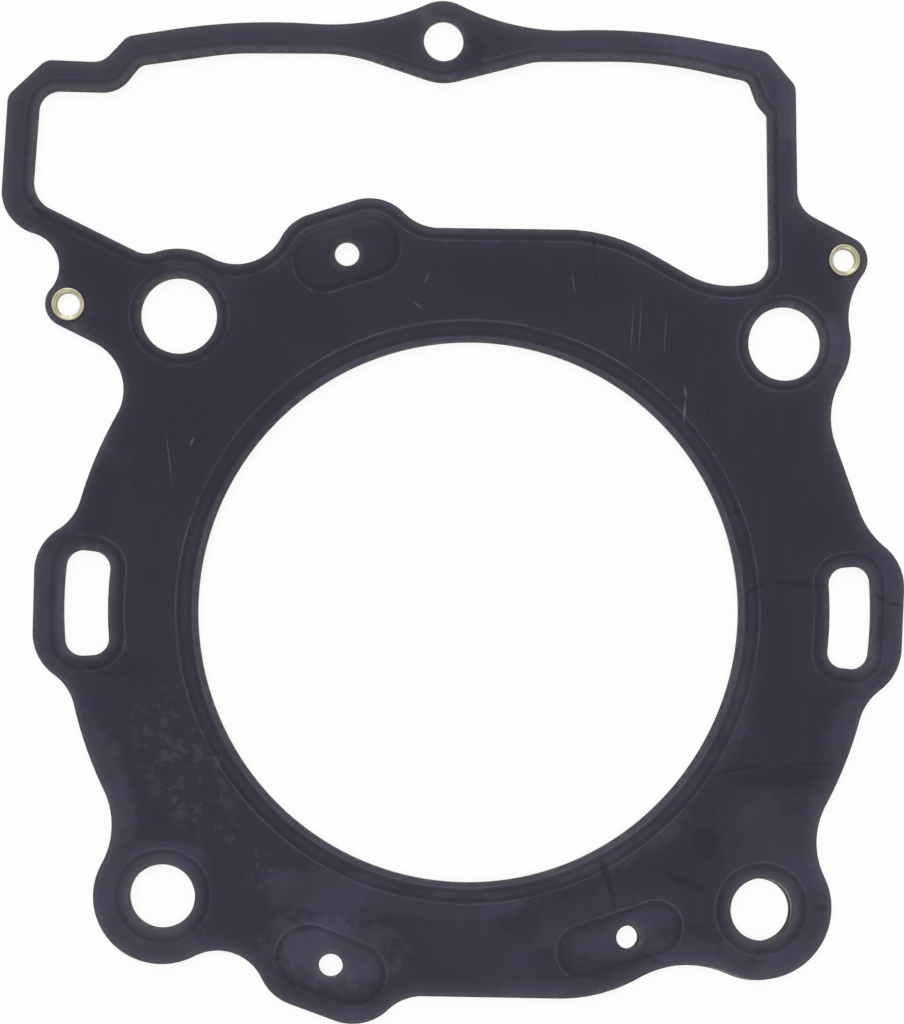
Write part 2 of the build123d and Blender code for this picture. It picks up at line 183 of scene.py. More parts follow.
def headings(outline):
    """Headings of an outline of arcs and straights where it leaves and where it meets its corners.

    A chord's heading is the mean of the outline's headings at its ends, so each next heading is
    twice the chord's less the last one, an alternating sum. Where a corner lies between chords of
    one length, its heading is the mean of theirs, and the middle one of those settles the sum.
    """
    chords = np.roll(outline, -1, axis=0) - outline
    lengths = np.hypot(*chords.T)
    bearing = np.unwrap(np.arctan2(chords[:, 1], chords[:, 0]))
    sign = (-1.0) ** np.arange(len(outline))
    summed = 2 * np.concatenate([[0], np.cumsum(sign * bearing)[:-1]])
    even = np.flatnonzero(np.isclose(lengths[1:], lengths[:-1], rtol=SAME_LENGTH)) + 1
    start = np.median(sign[even] * (bearing[even] + bearing[even - 1]) / 2 + summed[even])
    leaving = sign * (start - summed)
    return leaving, 2 * bearing - leaving, chords, lengths


def path_along(outline, sizes):
    """Even steps along an outline: their places, and at each the unit vector to the outline's left.

    Each chord is made an arc again from the headings at its ends. A step is as long as both the
    step's length and its turn allow: both are added up along the outline and cut into equal parts.
    """
    leaving, meeting, chords, lengths = headings(outline)
    turns = meeting - leaving
    effort = lengths / sizes.step + np.abs(turns) / sizes.turn
    reached = np.concatenate([[0], np.cumsum(effort)])
    count = math.ceil(reached[-1])
    wanted = np.arange(count) * reached[-1] / count
    at = np.searchsorted(reached, wanted, side="right") - 1
    part = (wanted - reached[at]) / effort[at]
    turned = part * turns[at]
    run = lengths[at] * part * np.sinc(turned / math.tau) / np.sinc(turns[at] / math.tau)
    bearing = leaving[at] + turned / 2
    places = outline[at] + run[:, None] * np.stack([np.cos(bearing), np.sin(bearing)], 1)
    heading = leaving[at] + turned
    return places, np.stack([-np.sin(heading), np.cos(heading)], 1)


def area_inside(outline):
    """Signed area of a closed outline, positive where it is walked anticlockwise."""
    x, y = outline.T
    return (x * np.roll(y, -1) - y * np.roll(x, -1)).sum() / 2


def is_round(outline):
    """Whether an outline's corners all lie about as far from their mean place."""
    radii = np.hypot(*(outline - outline.mean(0)).T)
    return np.ptp(radii) < ROUND_TOLERANCE * radii.mean()


def sheet_outlines():
    """The sheets' outer edge, and a pair for each opening: its bead's foot and the opening.

    The openings come from the spacer and the feet from the flat ground of the top facing. A foot
    belongs to the opening whose middle is nearest, and an opening's foot is the widest of those. A
    hole with no bead is its own foot.
    """
    edge, *openings = sorted(flat_outlines("spacer_sheet", SPACER_TOP), key=area_inside, reverse=True)
    middles = np.array([opening.mean(0) for opening in openings])
    ground = flat_outlines("top_facing_sheet", FIELD_TOP)
    feet = [outline for outline in ground if area_inside(outline) < 0]
    nearest = [np.hypot(*(middles - foot.mean(0)).T).argmin() for foot in feet]
    widest = [min((foot for foot, at in zip(feet, nearest) if at == number), key=area_inside)
              for number in range(len(openings))]
    return edge, list(zip(widest, openings))


# Levels of the stack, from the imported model
SPACER_BOTTOM, SPACER_TOP = (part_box("spacer_sheet")[i].z for i in (0, 1))
STACK_BOTTOM, STACK_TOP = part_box("bottom_facing_sheet")[0].z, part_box("top_facing_sheet")[1].z
STACK_MIDDLE = (STACK_BOTTOM + STACK_TOP) / 2
FACING_T = 0.25 * MM
FIELD_TOP = SPACER_TOP + FACING_T
FIELD_BOTTOM = SPACER_BOTTOM - FACING_T
BEAD_RISE = STACK_TOP - FIELD_TOP

# Columns of a sheet's grid: over its rolled edge, a half bead's slope, and the bore bead's slope and crown
ROLL_COLUMNS, SLOPE_COLUMNS, BORE_SLOPE_COLUMNS, CROWN_COLUMNS = 4, 8, 7, 6
EDGE_STEEPNESS = 1.7  # how steeply an edge's nearness falls, over the length of the fade
SMALL_RIM = 1.4  # lengths of the fade beside which a rim is small
STILL = (0.0, 1.0, 0.0)  # creep, its reach and its heading, for a sheet that hasn't crept
SHEET_SHARP = math.radians(40)

# Eyelets
EYELET_BORE_R = 2.0 * MM
EYELET_BARREL_R = 2.2 * MM
EYELET_HEAD_R = (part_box("left_eyelet")[1].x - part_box("left_eyelet")[0].x) / 2
RIM_W, RIM_H = 0.23 * MM, 0.2 * MM  # half of the head's rounded rim
FLARE_W, FLARE_DROP, FLARE_H = 0.02 * MM, 0.4 * MM, 0.38 * MM  # the flare's flat, foot and height
ROLL_OUT_W, ROLL_IN_W = 0.3 * MM, 0.25 * MM  # rounding of the rolled end, outside and in the bore
TUCK = 0.05 * MM  # how far the head's underside is drawn in
EYELET_STEPS = 96
EYELET_SHARP = math.radians(50)

EDGE, PAIRS = sheet_outlines()


# --- A sheet's surface, gathered strip by strip


def slope_rise(part, blend):
    """Height, from 0 to 1, at a part of the way up a slope with rounded ends.

    The steepness grows in step with the way over the first blend, stays, and dies away over the
    last blend, so the height is a parabola, a straight and a parabola.
    """
    top = 1 / (1 - blend)
    foot = top * part ** 2 / (2 * blend)
    straight = top * (part - blend / 2)
    shoulder = 1 - top * (1 - part) ** 2 / (2 * blend)
    return np.select([part < blend, part <= 1 - blend], [foot, straight], shoulder)


def nearest_distance(places, others):
    """Distance from each place to the nearest of the others, worked out in batches to save memory."""
    squares = [((batch[:, None, 0] - others[:, 0]) ** 2 + (batch[:, None, 1] - others[:, 1]) ** 2).min(1)
               for batch in np.array_split(places, len(places) // BATCH + 1)]
    return np.sqrt(np.concatenate(squares))


def on_ground(places, tails, heads):
    """Whether a line from each place to the right crosses the edges an odd number of times.

    An edge is crossed where its ends lie above and below the line and the place is on its left
    side, seen along the edge as it rises.
    """
    (x, y), (x0, y0), (x1, y1) = places.T[..., None], tails.T, heads.T
    spans = (y0 > y) != (y1 > y)
    side = (x1 - x0) * (y - y0) - (x - x0) * (y1 - y0)
    return (spans & ((side > 0) == (y1 > y0))).sum(1) % 2 == 1


# What a sheet's places tell its material
TOLD = ("from_foot", "from_edge", "glare_share", "crowding")


class Surface:
    """Places of a sheet's upper side in plan, with what each has to know, and the faces over them."""

    def __init__(self):
        self.columns = {name: [] for name in ("x", "y", "rise", "roll", "own_rim", *TOLD)}
        self.count = 0
        self.quads, self.rims, self.fringes = [], [], []
        self.triangles = np.empty((0, 3), int)

    def add(self, places, **values):
        """Adds a grid of places, and gives their numbers in the same grid."""
        shape = places.shape[:-1]
        values.update(x=places[..., 0], y=places[..., 1])
        for name, column in self.columns.items():
            column.append(np.broadcast_to(values.get(name, 0.0), shape).ravel())
        numbers = self.count + np.arange(np.prod(shape)).reshape(shape)
        self.count += numbers.size
        return numbers

    def lay(self, places, rim_first=False, **values):
        """Adds a grid that closes on itself along its first direction, and the faces over it.

        It lies between the flat ground and a rim. Its second direction runs to the left of its
        first, seen from above, where the rim comes first, and to the right where it comes last.
        """
        numbers = self.add(places, **values)
        ahead = np.roll(numbers, -1, axis=0)
        a, b, c, d = numbers[:, :-1], ahead[:, :-1], ahead[:, 1:], numbers[:, 1:]
        ring = (a, b, c, d) if rim_first else (a, d, c, b)
        self.quads.append(np.stack(ring, -1).reshape(-1, 4))
        self.rims.append(numbers[:, 0 if rim_first else -1])
        self.fringes.append(numbers[:, -1 if rim_first else 0])

    def column(self, name):
        """One value of every place, in the order of their numbers."""
        return np.concatenate(self.columns[name])

    def plan(self):
        """Every place as a row of x and y."""
        return np.stack([self.column("x"), self.column("y")], 1)

    # This nearness to cut edges sets how much glare the material paints there
    def share_edges(self, fade):
        """Tells every place how near it is to cut edges: 1/2 on an edge, fading over a distance.

        Every rim adds a logistic curve of the distance to it, less for a rim that is itself small
        beside the fade. The crowding is the same sum without the rim of the place's own bead.
        """
        plan = self.plan()
        own_rim = self.column("own_rim")
        total, others = np.zeros(len(plan)), np.zeros(len(plan))
        for number, rim in enumerate(self.rims):
            ring = plan[rim]
            size = math.sqrt(abs(area_inside(ring)) / math.pi)
            weight = 1 - math.exp(-size / (SMALL_RIM * fade))
            share = weight / (1 + np.exp(EDGE_STEEPNESS * nearest_distance(plan, ring[::2]) / fade))
            total += share
            others += np.where(own_rim == number, 0, share)
        self.columns["glare_share"], self.columns["crowding"] = [total], [others]

    def fill(self, spacing, border):
        """Triangles that fill the flat ground between the fringes, over an even grid of inner places.

        A place is on that ground if a line from it to the right crosses the fringes an odd number
        of times. A cut edge is at least a border's width past the nearest fringe.
        """
        plan = self.plan()
        tails = np.concatenate([plan[fringe] for fringe in self.fringes])
        heads = np.concatenate([plan[np.roll(fringe, -1)] for fringe in self.fringes])
        steps = (np.arange(start, end, spacing) for start, end in zip(tails.min(0), tails.max(0)))
        grid = np.stack(np.meshgrid(*steps), -1).reshape(-1, 2)
        reach = nearest_distance(grid, tails)
        inside = (reach > spacing / 2) & on_ground(grid, tails, heads)
        inner = self.add(grid[inside], from_edge=reach[inside] + border)
        plan = self.plan()
        numbers = np.concatenate([*self.fringes, inner])
        ends = np.cumsum([len(fringe) for fringe in self.fringes])
        rings = np.split(np.arange(ends[-1]), ends[:-1])
        edges = np.concatenate([np.stack([ring, np.roll(ring, -1)], 1) for ring in rings]).tolist()
        # 1 asks for triangles inside the edges; places in mm that are 1e-6 apart count as one
        filled = delaunay_2d_cdt(list(map(Vector, (plan[numbers] / MM).tolist())), edges, [], 1, 1e-6)
        source = np.array([origins[0] for origins in filled[3]])
        triangles = numbers[source[np.array(filled[2])]]
        corners = plan[triangles]
        a, b = corners[:, 1] - corners[:, 0], corners[:, 2] - corners[:, 0]
        left_about = a[:, 0] * b[:, 1] > a[:, 1] * b[:, 0]
        triangles = np.where(left_about[:, None], triangles, triangles[:, ::-1])
        self.triangles = triangles[on_ground(corners.mean(1), tails, heads)]


def edge_columns(sizes, width):
    """Offsets from a cut edge over a width, and the roll at each: a quarter circle down to the edge."""
    angle = np.linspace(0, math.pi / 2, ROLL_COLUMNS)
    rounding = sizes.rolled * (1 - np.cos(angle))
    drop = sizes.rolled * (1 - np.sin(angle))
    rest = np.linspace(sizes.rolled, width, ROLL_COLUMNS)[1:]
    return np.concatenate([rounding, rest]), np.concatenate([drop, np.zeros(len(rest))])


def lay_border(surface, outline, sizes, width):
    """Strip along a cut edge with no bead: offsets to the outline's left, rolled down at the edge."""
    places, left = path_along(outline, sizes)
    offset, roll = edge_columns(sizes, width)
    grid = places[:, None] + left[:, None] * offset[:, None]
    surface.lay(grid, rim_first=True, roll=roll, from_edge=offset)


def slope_columns(sizes):
    """Parts of a half bead's slope, from 0 to 1, and the offsets that they lie at from its foot."""
    part = np.concatenate([[0, 0], np.linspace(0, 1, SLOPE_COLUMNS)])
    start = np.concatenate([[0, sizes.press_mark / 2], np.full(SLOPE_COLUMNS, sizes.press_mark)])
    return part, start + part * sizes.slope


def half_bead_columns(sizes, width):
    """Offsets inwards from a half bead's foot over its band's width, and the rise and roll at each.

    The first stretch is the flat that the press has marked, then comes the slope, then the plateau.
    The last array is the distance from the foot, which is the offset again.
    """
    part, offset = slope_columns(sizes)
    edge, drop = edge_columns(sizes, width - offset[-1])
    offset = np.concatenate([offset, width - edge[-2::-1]])
    rise = np.concatenate([slope_rise(part, sizes.blend), np.ones(len(edge) - 1)]) * BEAD_RISE
    roll = np.concatenate([np.zeros(len(part)), drop[-2::-1]])
    return offset, rise, roll, offset


def full_bead_columns(sizes, width):
    """Offsets inwards from the bore bead's outer foot to the bore, with the rise and roll at each.

    They cross a slope, a cambered crown that is a piece of a parabola, the other slope, and the
    flat lip. The last array is the distance from the nearer foot, at the outer one half a press
    mark less.
    """
    part = np.linspace(0, 1, BORE_SLOPE_COLUMNS)
    bead = width - sizes.bore_lip
    crown_w = bead - 2 * sizes.bore_slope
    shoulder = BEAD_RISE - sizes.bore_camber
    across = np.linspace(-1, 1, CROWN_COLUMNS)[1:-1]
    edge, drop = edge_columns(sizes, sizes.bore_lip)
    offset = np.concatenate([part * sizes.bore_slope, bead / 2 + across * crown_w / 2,
                             bead - part[::-1] * sizes.bore_slope, width - edge[-2::-1]])
    rise = np.concatenate([slope_rise(part, sizes.blend) * shoulder,
                           shoulder + sizes.bore_camber * (1 - across ** 2),
                           slope_rise(part[::-1], sizes.blend) * shoulder, np.zeros(len(edge) - 1)])
    roll = np.concatenate([np.zeros(len(offset) - len(edge) + 1), drop[-2::-1]])
    from_foot = np.minimum(offset - sizes.press_mark / 2, width - offset - sizes.bore_lip)
    return offset, rise, roll, np.maximum(from_foot, 0)


def lay_parallel_bead(surface, foot, opening, sizes, columns):
    """Bead between a foot and an opening that keep one distance: the profile carried along the foot."""
    places, left = path_along(foot, sizes)
    width = nearest_distance(places, path_along(opening, sizes)[0]).min()
    offset, rise, roll, from_foot = columns(sizes, width)
    grid = places[:, None] - left[:, None] * offset[:, None]
    surface.lay(grid, rise=rise, roll=roll, from_foot=from_foot, from_edge=width - offset,
                own_rim=len(surface.rims))


def lay_pad(surface, foot, opening, sizes):
    """Oblong pad with a round hole: the slope carried along its foot, then a ruled plateau.

    The plateau runs from each point of the slope's shoulder straight to the hole's middle, as far
    as the hole's edge.
    """
    places, left = path_along(foot, sizes)
    hole = path_along(opening, sizes)[0]
    middle = hole.mean(0)
    radius = np.hypot(*(hole - middle).T).mean()
    part, offset = slope_columns(sizes)
    slope = places[:, None] - left[:, None] * offset[:, None]
    inward = middle - slope[:, -1]
    reach = np.hypot(*inward.T)[:, None]
    edge, drop = edge_columns(sizes, sizes.border)
    run = reach - radius - edge[::-1]
    plateau = slope[:, -1:] + (inward / reach)[:, None] * run[..., None]
    grid = np.concatenate([slope, plateau], 1)
    rise = BEAD_RISE * np.concatenate([slope_rise(part, sizes.blend), np.ones(len(edge))])
    roll = np.concatenate([np.zeros(len(part)), drop[::-1]])
    from_foot = np.concatenate([np.broadcast_to(offset, slope.shape[:2]), run + offset[-1]], 1)
    from_edge = np.concatenate([np.broadcast_to(reach - radius, slope.shape[:2]),
                                np.broadcast_to(edge[::-1], run.shape)], 1)
    surface.lay(grid, rise=rise, roll=roll, from_foot=from_foot, from_edge=from_edge,
                own_rim=len(surface.rims))


def facing_surface(sizes):
    """Upper side of a facing: a border along its outer edge, a bead round each opening, and the field.

    The bore is the opening that is large and near the origin.
    """
    surface = Surface()
    lay_border(surface, EDGE, sizes, sizes.border)
    bore = min(PAIRS, key=lambda pair: np.hypot(*pair[0].mean(0)) - math.sqrt(-area_inside(pair[0])))
    for foot, opening in PAIRS:
        if math.isclose(area_inside(foot), area_inside(opening), rel_tol=SAME_AREA):
            lay_border(surface, opening, sizes, sizes.border / 2)
        elif is_round(opening) and not is_round(foot):
            lay_pad(surface, foot, opening, sizes)
        elif foot is bore[0]:
            lay_parallel_bead(surface, foot, opening, sizes, full_bead_columns)
        else:
            lay_parallel_bead(surface, foot, opening, sizes, half_bead_columns)
    surface.fill(sizes.field_step, sizes.border)
    surface.share_edges(sizes.fade)
    return surface


def spacer_surface(sizes):
    """Flat sheet between the same outer edge and openings."""
    surface = Surface()
    for outline in [EDGE] + [opening for _, opening in PAIRS]:
        numbers = surface.add(path_along(outline, sizes)[0])
        surface.rims.append(numbers)
        surface.fringes.append(numbers)
    surface.fill(sizes.field_step, sizes.border)
    return surface


def crept(x, y, creep, reach, heading):
    """Plan places after a sheet has crept past the others round the lower right bolt.

    The shift is a bell curve of the distance from that bolt, creep at its middle.
    """
    bolt = min((foot.mean(0) for foot, _ in PAIRS if is_round(foot)), key=lambda at: at[1] - at[0])
    shift = creep * np.exp(-((x - bolt[0]) ** 2 + (y - bolt[1]) ** 2) / reach ** 2)
    return x + shift * math.cos(heading), y + shift * math.sin(heading)


def sheet_object(name, node, surface, thickness, underside, creep, mirrored=False):
    """A sheet: the upper side at its rise less its roll, a copy of it one thickness below the
    unrolled side, and walls along every rim between the two.
    """
    rise, roll = surface.column("rise"), surface.column("roll")
    x, y = crept(surface.column("x"), surface.column("y"), *creep)
    upper = np.stack([x, y, underside + thickness + rise - roll], 1)
    lower = np.stack([x, y, underside + rise], 1)
    vertices = np.concatenate([upper, lower])
    count = surface.count
    quads = np.concatenate(surface.quads) if surface.quads else np.empty((0, 4), int)
    ahead = [np.roll(rim, -1) for rim in surface.rims]
    walls = np.concatenate([np.stack([rim, rim + count, after + count, after], 1)
                            for rim, after in zip(surface.rims, ahead)])
    four = np.concatenate([quads, quads[:, ::-1] + count, walls])
    three = np.concatenate([surface.triangles, surface.triangles[:, ::-1] + count])
    if mirrored:
        vertices[:, 2] = 2 * STACK_MIDDLE - vertices[:, 2]
        four, three = four[:, ::-1], three[:, ::-1]
    mesh = bpy.data.meshes.new(name)
    mesh.from_pydata(vertices.tolist(), [], four.tolist() + three.tolist())
    walled = np.zeros(len(four) + len(three), np.int32)
    walled[2 * len(quads):len(four)] = 1
    mesh.polygons.foreach_set("material_index", walled)
    mesh.polygons.foreach_set("use_smooth", np.arange(len(walled)) < len(four))
    for key in TOLD:
        values = np.tile(surface.column(key), 2).astype(np.float32)
        mesh.attributes.new(key, "FLOAT", "POINT").data.foreach_set("value", values)
    return placed(mesh, name, node, SHEET_SHARP)


def in_scene(name, data):
    """A new object of some data, linked to the scene."""
    made = bpy.data.objects.new(name, data)
    bpy.context.scene.collection.objects.link(made)
    return made


def placed(mesh, name, node, sharp):
    """The mesh's object, standing for its CAD node, with edges sharper than an angle marked sharp."""
    mesh.set_sharp_from_angle(angle=sharp)
    mesh.update()
    piece = in_scene(name, mesh)
    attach(piece, "root")
    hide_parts(node)
    return piece


# --- Eyelets


def quarter(middle, reach, start, count=7):
    """Points of a quarter ellipse, from a starting angle on anticlockwise, as rows of radius and height."""
    angle = start + np.linspace(0, math.pi / 2, count)
    return np.array(middle) + np.array(reach) * np.stack([np.cos(angle), np.sin(angle)], 1)


def rivet_section(low, high, stack_low, stack_high):
    """Closed section of an eyelet, as rows of radius and height, anticlockwise from the rolled end.

    Straights join five quarter ellipses: one round the rolled end, two over the head's rim, one from
    the rim's inner foot down into the bore, and one from the bore out to the rolled end.
    """
    roll = stack_low - low
    rim = (EYELET_HEAD_R - RIM_W, high - RIM_H)
    flare = rim[0] - RIM_W - EYELET_BORE_R - FLARE_W
    return np.concatenate([
        quarter((EYELET_HEAD_R - ROLL_OUT_W, low + roll), (ROLL_OUT_W, roll), -math.pi / 2)[:-1],
        [[EYELET_HEAD_R, stack_low], [EYELET_BARREL_R, stack_low], [EYELET_BARREL_R, stack_high]],
        [[EYELET_HEAD_R - TUCK, stack_high]],
        quarter(rim, (RIM_W, RIM_H), 0)[:-1],
        quarter(rim, (RIM_W, RIM_H), math.pi / 2),
        quarter((EYELET_BORE_R + flare, rim[1] - FLARE_DROP), (flare, FLARE_H), math.pi / 2),
        quarter((EYELET_BORE_R + ROLL_IN_W, low + roll), (ROLL_IN_W, roll), math.pi),
    ])


def eyelet_object(name, node):
    """Eyelet: its section turned about its own axis, in even steps."""
    low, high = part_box(node)
    section = rivet_section(low.z, high.z, FIELD_BOTTOM, FIELD_TOP)
    middle = (low + high) / 2
    angle = np.arange(EYELET_STEPS) * math.tau / EYELET_STEPS
    radius, height = section.T
    grid = np.stack([middle.x + np.outer(np.cos(angle), radius),
                     middle.y + np.outer(np.sin(angle), radius),
                     np.broadcast_to(height, (EYELET_STEPS, len(height)))], -1)
    number = np.arange(grid.shape[0] * grid.shape[1]).reshape(grid.shape[:2])
    ahead = np.roll(number, -1, axis=0)
    faces = np.stack([number, ahead, np.roll(ahead, -1, axis=1), np.roll(number, -1, axis=1)], -1)
    mesh = bpy.data.meshes.new(name)
    mesh.from_pydata(grid.reshape(-1, 3).tolist(), [], faces.reshape(-1, 4).tolist())
    mesh.polygons.foreach_set("use_smooth", np.ones(len(mesh.polygons), bool))
    return placed(mesh, name, node, EYELET_SHARP)


# --- Materials


def add(tree, kind, inputs=None, output=0, **settings):
    """Adds a shader node with its settings and gives one of its outputs, or the node if it has none.

    inputs gives each socket, by its name or number, a value or the output that feeds it.
    """
    node = tree.nodes.new("ShaderNode" + kind)
    for name, value in settings.items():
        setattr(node, name, value)
    for key, value in (inputs or {}).items():
        if isinstance(value, bpy.types.NodeSocket):
            tree.links.new(value, node.inputs[key])
        else:
            node.inputs[key].default_value = value
    return node.outputs[output] if node.outputs else node


# A Map Range node's inputs, in the order of the rows that fill them, and a Mix node's colour sockets
RANGE = ("Value", "From Min", "From Max", "To Min", "To Max")
MIX_A, MIX_B, MIX_RESULT = 6, 7, 2


def emptied(owner):
    """A material or world, set to use nodes, and its node tree without any."""
    owner.use_nodes = True
    owner.node_tree.nodes.clear()
    return owner, owner.node_tree


# Marks on the top facing, each as its two ends and its width in mm, and its strength: scratches, creases
# drawn as painted shade, stains and broad darker patches, paler patches and scuffs.
# A mark with both ends in one place is round.
SCRATCHES = (
    (-55.3, 32.2, -53.4, 20, 0.4, 0.55), (-50.8, 27.8, -50, 29.7, 0.6, 0.75),
    (-9.6, 60.3, -10.4, 58.6, 0.8, 0.6), (-12.2, 55.1, -10.4, 53.9, 0.8, 0.55),
    (15.8, 62, 16.7, 57.6, 0.3, 0.7), (36.9, 42.6, 37.4, 40.2, 0.6, 1), (37.3, 40.6, 37, 35.2, 0.6, 1),
    (27.2, 58, 27, 47, 0.3, 0.6), (28.6, 60, 28.4, 46, 0.3, 0.6), (33.2, 57, 33, 46, 0.3, 0.6),
)
# Creases are drawn only as painted shade along each crease, with no bend in the sheet
CREASE_SHADES = (
    (49.2, 5.4, 53.5, 7.6, 1.2, 0.9), (53, 7.9, 63, 7.3, 1, 0.9), (61, 7.5, 65.5, 7.2, 0.8, 0.7),
    (72.6, 6.4, 76.4, 4.4, 1.2, 0.9), (74.8, 4.8, 79.2, 4.2, 1.1, 1), (42, 41, 40.6, 35, 0.6, 0.8),
    (24.9, -43.3, 26.6, -48, 1.9, 0.9), (26.4, -47, 27.9, -52.8, 1.6, 0.9),
    (35, -44.9, 45.5, -49.6, 1.9, 0.8), (32.3, -60.4, 37.8, -63, 1.4, 0.6),
    (19, 68.4, 21.3, 55.2, 0.7, 0.6), (19.4, 68, 19.9, 65.9, 1.1, 1), (64.4, -51.4, 67.4, -51.8, 1.6, 0.6),
    (44, -27.6, 56, -25.6, 0.9, 0.8), (56, -25.6, 68, -25, 0.8, 0.6),
)
STAINS = (
    (44.1, -39.9, 44.1, -40.7, 6.4, 0.8), (47.1, 20.7, 47.4, 20.2, 1.6, 0.9),
    (49, -28.8, 65, -27.2, 4.2, 0.65), (56, -28, 61, -27.6, 4.6, 0.6), (-58, 44, -42, 30, 40, 0.5),
    (-66, 23, -68, 13, 9, 0.5), (-76, 64, -60, 57, 18, 0.5), (-4, 63, 22, 60, 17, 0.2),
    (-38, 56, -27, 50, 13, 0.4), (-47, 60.5, -40, 60, 8, 0.45), (-30, 60.5, -18, 64.5, 10, 0.35),
    (-24.3, 63.1, -24.3, 63.1, 8.4, 0.6), (30.4, -57.8, 30.4, -57.8, 6.4, 0.5), (-5, 96.5, -3, 100, 6, 0.5),
    (-74, 11, -71, 8.5, 7, 0.45), (-69, -10.5, -59, -11, 6, 0.5), (53.5, 60, 50, 48, 7, 0.35),
)
PALE_PATCHES = (
    (-29, -60.5, -16, -62, 16, 1.5), (-34, -50, -12, -52, 12, 0.9), (-14, -52.5, 12, -52.5, 8, 0.8),
    (12, -49.5, 42, -35.5, 8, 0.8), (-59.5, -45.5, -47.5, -45.5, 8, 0.9), (-4, -58, 14, -64, 13, 0.4),
    (14, -58, 40, -52, 15, 0.65), (54, -36, 63, -54, 24, 0.7), (55, -63, 66, -58, 9, 1),
    (-65, -24, -61, -42, 9, 1), (-66, -48, -50, -67, 21, 1), (67, 50, 69, 40, 9, 0.7),
    (6, 99.5, 30, 101, 8, 0.6), (30, 103, 54, 100, 10, 1.4), (55, 101, 53.5, 88, 8, 1.2),
    (75, 14, 76.5, -7, 7, 0.6), (71, -12, 67, -23, 7, 0.7), (50.5, -3, 48, -24, 7, 0.8),
    (48, -20, 34, -34, 12, 0.4), (6, -68, 26, -68, 7, 0.6), (-30, 67, -13, 77, 10, 0.7),
    (-74, 12, -76, -8, 8, 0.5), (48, -64, 54, -56, 8, 0.8), (65, -28, 66, -54, 7, 1),
    (63.3, 55, 63.5, 46, 5, 1.3), (66, 73.5, 70, 71, 6, 0.8), (71.5, -10, 76.5, -2, 5, 0.9),
    (-23, -73, -12, -73.5, 6, 0.9), (36, -60, 47, -62, 10, 0.7), (46, 98, 51, 92, 7, 0.7),
)
SCUFFED = ((-54, -20, -46, -37, 22, 0.9), (-42, -40, -32, -52, 10, 0.9))
MARK_ROOM = 1.3  # how far past its size a mark's ragged rim may reach
EYELET_SHADOW_W = 0.9  # width of a ring of painted shadow in mm


def marks(tree, place, rows, ragged, full, strength):
    """Share of a set of marks: each has its strength in the middle and none outside an ellipse.

    The ellipse reaches half a width past the mark's two ends. A gradient falls from 1 in its middle
    to 0 at MARK_ROOM times its size, and gives the distance from the middle, which is 1 at its rim.
    ragged is added to that distance, and the mark is whole within the distance full.
    """
    total = None
    for x0, y0, x1, y1, width, most in rows:
        closeness = add(tree, "TexGradient", {"Vector": place}, output="Fac", gradient_type="SPHERICAL")
        ellipse = closeness.node.texture_mapping
        ellipse.vector_type = "TEXTURE"
        ellipse.translation = ((x0 + x1) / 2 * MM, (y0 + y1) / 2 * MM, 0)
        ellipse.rotation = (0, 0, math.atan2(y1 - y0, x1 - x0))
        half = MARK_ROOM * width / 2 * MM
        ellipse.scale = (MARK_ROOM * math.hypot(x1 - x0, y1 - y0) / 2 * MM + half, half, 1)
        away = add(tree, "Math", {0: closeness, 1: -MARK_ROOM, 2: ragged}, operation="MULTIPLY_ADD")
        share = add(tree, "MapRange", dict(zip(RANGE, (away, 1 - MARK_ROOM, full - MARK_ROOM, 0, most))),
                    interpolation_type="SMOOTHSTEP")
        if total is not None:
            share = add(tree, "Math", {0: total, 1: share}, operation="MAXIMUM")
        total = share
    return add(tree, "Math", {0: total, 1: strength}, operation="MULTIPLY")


def eyelet_shadow_rings():
    """Rows of marks that paint a ring of shadow round each eyelet's head."""
    width = 2 * (EYELET_HEAD_R / MM + EYELET_SHADOW_W)
    middles = [(low + high) / 2 / MM for low, high in map(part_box, ("left_eyelet", "right_eyelet"))]
    return [(middle.x, middle.y, middle.x, middle.y, width, 0.5) for middle in middles]


def band(tree, value, low, peak, high, strength):
    """A strength where a length in mm is at its peak, falling smoothly to 0 at its low and high."""
    for end in (low, high):
        side = add(tree, "MapRange", dict(zip(RANGE, (value, end * MM, peak * MM))),
                   interpolation_type="SMOOTHSTEP")
        strength = add(tree, "Math", {0: side, 1: strength}, operation="MULTIPLY")
    return strength


